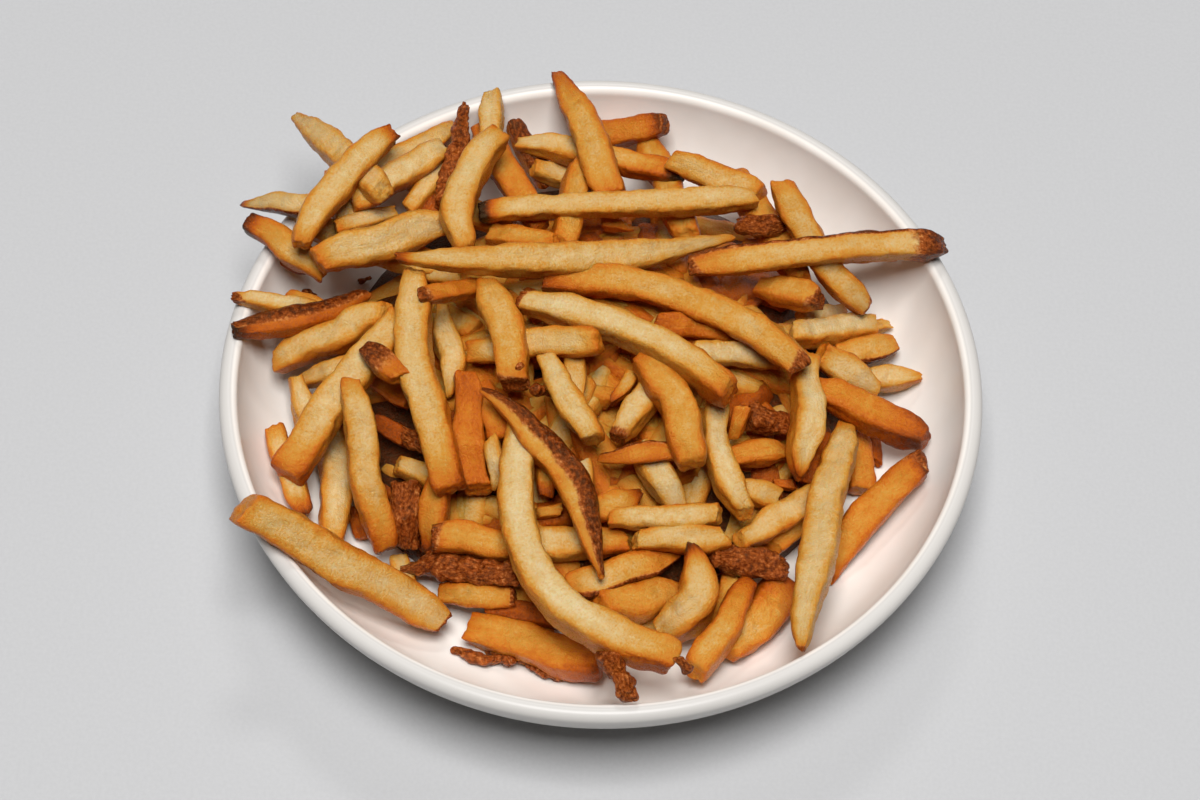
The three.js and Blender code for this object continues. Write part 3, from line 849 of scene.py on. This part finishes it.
def buryFry(chance, depth):
    angle = chance.uniform(0, 2 * math.pi)
    out = bed["radius"] * buried["inside"] * math.sqrt(chance.random())
    heading = chance.uniform(0, math.pi)
    length = chance.uniform(*buried["length"])
    thick = chance.uniform(*buried["thick"])
    look = [chance.choice(buried["looks"])]
    roll = math.radians(chance.uniform(-fit["roll"], fit["roll"]))
    x = bed["x"] + out * bed["stretch"] * math.cos(angle)
    y = bed["y"] + out * math.sin(angle)
    reach = np.linspace(-length / 2, length / 2, buried["points"])
    xs, ys = x + reach * math.cos(heading), y + reach * math.sin(heading)
    fromBed = np.hypot((xs - bed["x"]) / bed["stretch"], ys - bed["y"])
    if fromBed.max() > bed["radius"] * buried["inside"]:
        return None
    ceilings = bedHeight(fromBed) - depth
    line = -restOn(-ceilings, length * math.tan(math.radians(fit["steepest"])))
    floors = bowlHeight(np.hypot(xs, ys), thick / 2)
    line = line + max(0, (floors - line).max())
    if (line - ceilings).max() > depth:
        return None
    return {"centres": np.stack((xs, ys, line), 1), "thick": thick, "plump": 1, "roll": roll, "look": look}


chance = random.Random(buried["seed"])
buriedFries = []
for depth, count in buried["layers"]:
    tried = [buryFry(chance, depth) for number in range(count)]
    buriedFries += [fry for fry in tried if fry]
print("fries buried:", len(buriedFries))


# sticks of potato, modelled once for each length and bent along every fry's own line

def modelStick(name, length, levels, seed, skinSide):
    chance = random.Random(seed)
    half = length * mm / 2
    side = stick["thick"] * mm / 2
    near = 0.01 * mm
    deselectAll()
    bpy.ops.mesh.primitive_cube_add(size=1)
    piece = bpy.context.object
    piece.name = name
    piece.scale = (half * 2, side * 2, side * 2)
    bpy.ops.object.transform_apply(location=False, rotation=False, scale=True)
    bpy.ops.object.mode_set(mode="EDIT")
    bpy.ops.mesh.select_mode(type="EDGE")
    pickEdges(piece, lambda a, b: abs(a.x - b.x) < near)
    bpy.ops.mesh.subdivide(number_cuts=stick["across"][levels])
    pickEdges(piece, lambda a, b: abs(a.x - b.x) > near)
    bpy.ops.mesh.subdivide(number_cuts=max(1, round(length / stick["ring"][levels]) - 1))

    def atEnd(a):
        return abs(a.x) > half - near and (abs(a.y) > side - near or abs(a.z) > side - near)
    for end in (-1, 1):
        pickEdges(piece, lambda a, b: atEnd(a) and atEnd(b) and a.x * end > 0)
        bpy.ops.transform.edge_crease(value=chance.uniform(*stick["endCrease"]))
    bpy.ops.mesh.select_mode(type="VERT")
    if skinSide:
        pickVertices(piece, lambda a: a.z > side - near and abs(a.y) < side - near)
        bpy.ops.transform.translate(value=(0, 0, stick["belly"] * mm))
    for end in (-1, 1):
        pickVertices(piece, lambda a: a.x * end > half - near)
        for axis in ("Y", "Z"):
            lean = math.radians(chance.uniform(-stick["slant"], stick["slant"]))
            bpy.ops.transform.rotate(value=lean, orient_axis=axis, center_override=(end * half, 0, 0))
    bpy.ops.mesh.select_all(action="SELECT")
    bpy.ops.transform.vertex_random(offset=stick["uneven"] * mm, uniform=1, normal=0, seed=seed)
    bpy.ops.object.mode_set(mode="OBJECT")
    smoothing = piece.modifiers.new("softEdges", "SUBSURF")
    smoothing.levels = levels
    smoothing.render_levels = levels
    applyModifier(piece, smoothing)
    bpy.ops.object.shade_smooth()
    return piece


sticks = {}
for levels in (1, 2):
    for skinSide in (False, True):
        for length in stick["lengths"]:
            for variant in range(stick["variants"]):
                name = f"stick{length}-{levels}-{int(skinSide)}-{variant}"
                seed = length * 10 + variant + 1
                sticks[levels, skinSide, length, variant] = modelStick(name, length, levels, seed, skinSide)
print("sticks modelled:", len(sticks))


# browning, painted shade down the sides, and skin, marked on each stick before it is bent

tones = {"pale": 0.13, "gold": 0.23, "amber": 0.34, "orange": 0.45, "brown": 0.62, "crust": 0.68}
quarterTurns = {"skinT": 0, "skinL": -90, "skinR": 90}

browning = {
    "edge": 0.17,           # along the four long edges
    "edgePower": 2.5,       # the higher, the narrower
    "side": 0.50,           # down a side named edgeL or edgeR: browning, with painted shade
    # painted shade down the other sides, at random between these
    "otherSidesShade": (0.15, 0.55),
    "sidePower": 4,
    "most": 0.58,           # tone that edges and ends tend to
    "room": 0.04,           # least that they add
    "end": (0.1, 0.7),      # on a cut end, least and most
    "warmEnd": 0.5,         # share of that on an end that is warm all over
    "dark": 0.34,
    "burnt": 0.6,
    "warm": 0.24,
    "tan": 0.30,
    "shade": (-0.06, 0.05), # how a whole fry differs from its tone
    "endDepth": 2.2,        # mm
    "fullLength": 25,       # shorter pieces brown less at their ends
    "darkDepth": 4,
    "warmDepth": 14,
    "tanDepth": 26,
}

peel = {                        # 1 is the darkest and thickest skin
    "crust": 0.8,
    "strip": (0.15, 0.8),       # down a side: how far out it starts, and in how much it thickens
    "thin": (0.55, 0.35),       # the same for a narrow strip
    "upwards": (0.75, 0.65),    # skinL and skinR lie between their side and the top
    "cap": (1.1, 0.85, 3.4),    # at the very end, at most, and mm that it reaches
    "capLean": (1.6, 0.9),      # a cap reaches further on one side
    "end": (1.4, 12),           # skinFrom and skinTo: at the very end, and mm that it reaches
}


def setMarks(mesh, tone, skin, grain):  # what the potato's material reads at each vertex
    for name, kind, field, values in (("tone", "FLOAT", "value", tone), ("skin", "FLOAT", "value", skin),
                                      ("grain", "FLOAT_VECTOR", "vector", grain.ravel())):
        mesh.attributes.new(name, kind, "POINT").data.foreach_set(field, values.astype(np.float32))


def markStick(mesh, fry, length, masterLength, seed):
    x, y, z = vertexPlaces(mesh).T / mm
    share = np.clip(x / masterLength + 0.5, 0, 1)
    fromStart, fromEnd = share * length, (1 - share) * length
    half = stick["thick"] / 2
    y, z = y / half, z / half
    look = fry["look"]
    turned = fry["quarter"]  # master axes back to left, up
    left = y * math.cos(turned) - z * math.sin(turned)
    up = y * math.sin(turned) + z * math.cos(turned)
    corner = np.clip(np.minimum(abs(y), abs(z)), 0, 1) ** browning["edgePower"]

    plain = tones[look[0]] + fry["shade"]
    darker = browning["edge"] * corner
    small = min(1, length / browning["fullLength"])
    for amount, depth, word in zip(fry["ends"], (fromStart, fromEnd), ("warmFrom", "warmTo")):
        amount *= browning["warmEnd"] if word in look else 1
        darker += small * amount * np.exp(-depth / browning["endDepth"])
    # painted shade: both sides darken, as they get less light than the top; a side named edgeL or edgeR is
    # also browned
    for word, sign, own in (("edgeL", 1, fry["side"][0]), ("edgeR", -1, fry["side"][1])):
        side = browning["side"] if word in look else own
        darker += side * np.clip(left * sign, 0, 1) ** browning["sidePower"]
    room = max(browning["room"], browning["most"] - plain)
    tone = plain + room * (1 - np.exp(-darker / room))
    reaches = (("dark", "darkDepth"), ("burnt", "darkDepth"), ("warm", "warmDepth"), ("tan", "tanDepth"))
    for end, depth in (("From", fromStart), ("To", fromEnd)):
        for word, reach in reaches:
            if word + end in look:
                tone += browning[word] * np.exp(-(depth / browning[reach]) ** 2)

    skin = np.full(len(x), peel["crust"] if look[0] == "crust" else 0.0)

    def cover(amount, most=1):
        return np.maximum(skin, np.clip(amount, 0, most))
    for word in quarterTurns:
        if word in look:
            outwards = z if word == "skinT" else peel["upwards"][0] * z + peel["upwards"][1] * up
            skin = cover((outwards - peel["strip"][0]) / peel["strip"][1])
    for word, sign in (("thinL", 1), ("thinR", -1)):
        if word in look:
            skin = cover((left * sign - peel["thin"][0]) / peel["thin"][1])
    for end, depth in (("From", fromStart), ("To", fromEnd)):
        if "cap" + end in look:
            start, most, reach = peel["cap"]
            lean = peel["capLean"][0] - peel["capLean"][1] * (y * math.cos(seed) + z * math.sin(seed))
            skin = cover(start - depth * lean / reach, most)
        if "skin" + end in look:
            start, reach = peel["end"]
            skin = cover(start - depth / reach)
    radius = fry["thick"] / 2
    grain = np.stack((fromStart + seed * 31.7, y * radius + seed * 17.3, z * radius), 1)  # its own part
    setMarks(mesh, tone, skin, grain)


def wedgeStick(mesh, flat, wedge):  # wider than high, and higher on one side than on the other
    x, y, z = vertexPlaces(mesh).T
    half = stick["thick"] * mm / 2
    shaped = np.stack((x, y * flat, z / flat * (1 + wedge * y / half)), 1)
    mesh.vertices.foreach_set("co", shaped.ravel())


def wrinkleStick(piece, seed):  # wrinkles run along the stick: it is squeezed while they are made
    away = Matrix.Translation((seed * stick["ridgeApart"] * mm, 0, 0))
    squeeze = Matrix.Diagonal((1 / stick["ridgeStretch"], 1, 1, 1)) @ away
    piece.data.transform(squeeze)
    displace(piece, "ridges", *stick["ridge"])
    piece.data.transform(squeeze.inverted())


def drawPath(fry, wobble):
    centres = fry["centres"] * mm
    curve = bpy.data.curves.new("path", "CURVE")
    curve.dimensions = "3D"
    curve.twist_mode = "Z_UP"
    curve.use_stretch = True
    curve.use_deform_bounds = True
    curve.use_radius = True
    curve.resolution_u = 3
    share = np.linspace(0, 1, len(centres))
    level = unit(np.cross(skyward, centres[-1] - centres[0]))
    size, bends, phase = fry["sway"]
    sway = size * mm * np.sin(2 * math.pi * (share * bends + phase))
    centres = centres + level * sway[:, None] * (fry["length"] > stick["swayFrom"])
    spline = curve.splines.new("NURBS")
    spline.points.add(len(centres) - 1)
    spline.points.foreach_set("co", np.hstack((centres, np.ones((len(centres), 1)))).ravel())
    plump = fry["plump"] * stick["crustPlump" if fry["look"][0] == "crust" else "plump"]
    sizes = fry["thick"] * plump / stick["thick"] * taper(share, fry["look"])
    waves = 1 + fry["wave"] * np.sin(2 * math.pi * (share * wobble[0] + wobble[1]))
    for (pinch, reach), gap in zip(fry["pinches"], (share, 1 - share)):
        waves *= 1 - pinch * np.exp(-(gap * fry["length"] / reach) ** 2)
    spline.points.foreach_set("radius", sizes * waves)
    twist = fry["roll"] + fry["quarter"] + fry["twist"] * (share - 0.5)
    spline.points.foreach_set("tilt", twist)
    spline.use_endpoint_u = True
    spline.order_u = 4
    path = bpy.data.objects.new("path", curve)
    bpy.context.collection.objects.link(path)
    return path


def bendStick(fry, levels, seed, chance):
    length = float(np.linalg.norm(np.diff(fry["centres"], axis=0), axis=1).sum())
    look = fry["look"]
    skinSide = any(word in look for word in quarterTurns) or look[0] == "crust"
    fry["quarter"] = math.radians(sum(turn for word, turn in quarterTurns.items() if word in look))
    fry["shade"] = chance.uniform(*browning["shade"])
    fry["wave"] = chance.uniform(*stick["wave"])
    fry["twist"] = math.radians(chance.uniform(-stick["twist"], stick["twist"]))
    fry["length"] = length
    fry["sway"] = (chance.uniform(*stick["sway"]), chance.uniform(*stick["swayWaves"]), chance.random())
    # painted shade for the left and right sides
    fry["side"] = [chance.uniform(*browning["otherSidesShade"]) for side in ("L", "R")]
    fry["pinches"] = [(chance.uniform(*stick["pinch"]), chance.uniform(*stick["pinchReach"]))
                      for side in ("From", "To")]
    for end, side in enumerate(("From", "To")):
        if "round" + side in look:
            fry["pinches"][end] = stick["round"]
        if "square" + side in look:
            fry["pinches"][end] = stick["square"]
    fry["ends"] = (chance.uniform(*browning["end"]), chance.uniform(*browning["end"]))
    flat = chance.uniform(*stick["flat"])
    wobble = (chance.uniform(*stick["waves"]), chance.random())
    masterLength = min(stick["lengths"], key=lambda size: abs(math.log(size / length)))
    master = sticks[levels, skinSide, masterLength, chance.randrange(stick["variants"])]
    piece = master.copy()
    piece.data = master.data.copy()
    bpy.context.collection.objects.link(piece)
    markStick(piece.data, fry, length, masterLength, seed)
    wedgeStick(piece.data, flat, chance.uniform(-stick["wedge"], stick["wedge"]))
    if levels > 1:
        wrinkleStick(piece, seed)
    path = drawPath(fry, wobble)
    bend = piece.modifiers.new("bend", "CURVE")
    bend.object = path
    bend.deform_axis = "POS_X"
    applyModifier(piece, bend)
    curve = path.data
    bpy.data.objects.remove(path)
    bpy.data.curves.remove(curve)
    return piece


def kindOf(look):
    if look[0] == "crust":
        return "skinCrusts"
    if any(word in look for word in quarterTurns):
        return "friesSkinOn"
    if look[0] == "pale":
        return "friesPaleToasted" if len(look) > 1 else "friesPale"
    return "friesGolden" if look[0] == "gold" else "friesAmber"


kinds = {}
chance = random.Random(stick["seed"])
for number, fry in enumerate(laidFries):
    kinds.setdefault(kindOf(fry["look"]), []).append(bendStick(fry, 2, number, chance))
for number, fry in enumerate(buriedFries):
    kinds.setdefault("friesBuried", []).append(bendStick(fry, 1, number + len(laidFries), chance))
for master in sticks.values():
    mesh = master.data
    bpy.data.objects.remove(master)
    bpy.data.meshes.remove(mesh)
print("fries bent")


def finishFood(piece):
    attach(piece, "root")
    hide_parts("fries")


relief = {"lumps": (7, 1.2), "blisters": (2.0, 0.4), "crumples": (4, 2.6)}   # grain and depth in mm

for name, pieces in kinds.items():
    joined = joinPieces(pieces, name)
    displace(joined, "lumps", *relief["lumps"])
    displace(joined, "blisters", *relief["blisters"])
    if name == "skinCrusts":
        displace(joined, "crumples", *relief["crumples"])
    joined.data.materials.clear()
    joined.data.materials.append(potato)
    finishFood(joined)
    print(name, triangles(joined), "triangles")


# what fills the middle of the heap, near-black as painted shade, seen only between the fries

core = {
    "sink": 14,         # mm lower than the bed
    "shrink": 0.95,     # narrower than the bed
    "rings": 20,
    "segments": 48,
    "wallSteps": 24,
    # near-black brown: painted shade for the depth of the heap
    "tone": 0.92,
}


def modelCore():
    deselectAll()
    bpy.ops.mesh.primitive_uv_sphere_add(segments=core["segments"], ring_count=core["rings"], radius=1)
    piece = bpy.context.object
    piece.name = "paintedShadeCore"
    floor = bowl["floorHeight"] + fit["gap"]
    wide = bed["radius"] * core["shrink"]
    tall = bed["peak"] - core["sink"] - floor
    bpy.ops.object.mode_set(mode="EDIT")
    bpy.ops.mesh.select_all(action="SELECT")
    bpy.ops.mesh.bisect(plane_co=(0, 0, 0), plane_no=(0, 0, 1), clear_inner=True, use_fill=True)
    bpy.ops.object.mode_set(mode="OBJECT")
    piece.scale = (wide * bed["stretch"] * mm, wide * mm, tall * mm)
    piece.location = (bed["x"] * mm, bed["y"] * mm, floor * mm)
    bpy.ops.object.transform_apply(location=True, rotation=False, scale=True)
    places = vertexPlaces(piece.data)
    x, y, z = places.T      # views, so what is done to them is done to the places
    wallRadii, wallHeights = np.array(innerCurve(core["wallSteps"])).T * mm
    room = np.interp(z, wallHeights, wallRadii) - fit["gap"] * mm
    inward = np.minimum(1, room / np.maximum(np.hypot(x, y), mm))
    x *= inward
    y *= inward
    piece.data.vertices.foreach_set("co", places.ravel())
    setMarks(piece.data, np.full(len(places), core["tone"]), np.zeros(len(places)), places / mm)
    bpy.ops.object.shade_smooth()
    piece.data.materials.append(potato)
    finishFood(piece)


modelCore()
print("core modelled")


# floor and light

studio = {
    "floor": 6,                 # metres
    "sky": 0.03,                # soft fill from all round
    "skyTint": "#fbfaf8",
    "lamps": (                  # place and size in metres, watts
        ((0, -0.5, 2.6), (1.1, 1.2), 81),
        ((0, 1.3, 1.9), (0.5, 0.3), 8),     # low and behind, for the gloss
    ),
}


def setStudio():
    deselectAll()
    bpy.ops.mesh.primitive_plane_add(size=studio["floor"])
    floor = bpy.context.object
    floor.name = "backdropFloor"
    floor.data.materials.append(backdrop)
    for place, size, power in studio["lamps"]:
        bpy.ops.object.light_add(type="AREA", location=place)
        lamp = bpy.context.object
        lamp.data.energy = power
        lamp.data.shape = "RECTANGLE"
        lamp.data.size, lamp.data.size_y = size
        lamp.rotation_euler = Vector(place).to_track_quat("Z", "Y").to_euler()
    world = bpy.data.worlds.new("studio")
    bpy.context.scene.world = world
    world.use_nodes = True
    sky = world.node_tree.nodes["Background"]
    sky.inputs["Color"].default_value = linear(studio["skyTint"])
    sky.inputs["Strength"].default_value = studio["sky"]
    bpy.context.scene.view_settings.view_transform = "Standard"


setStudio()
print("studio set")
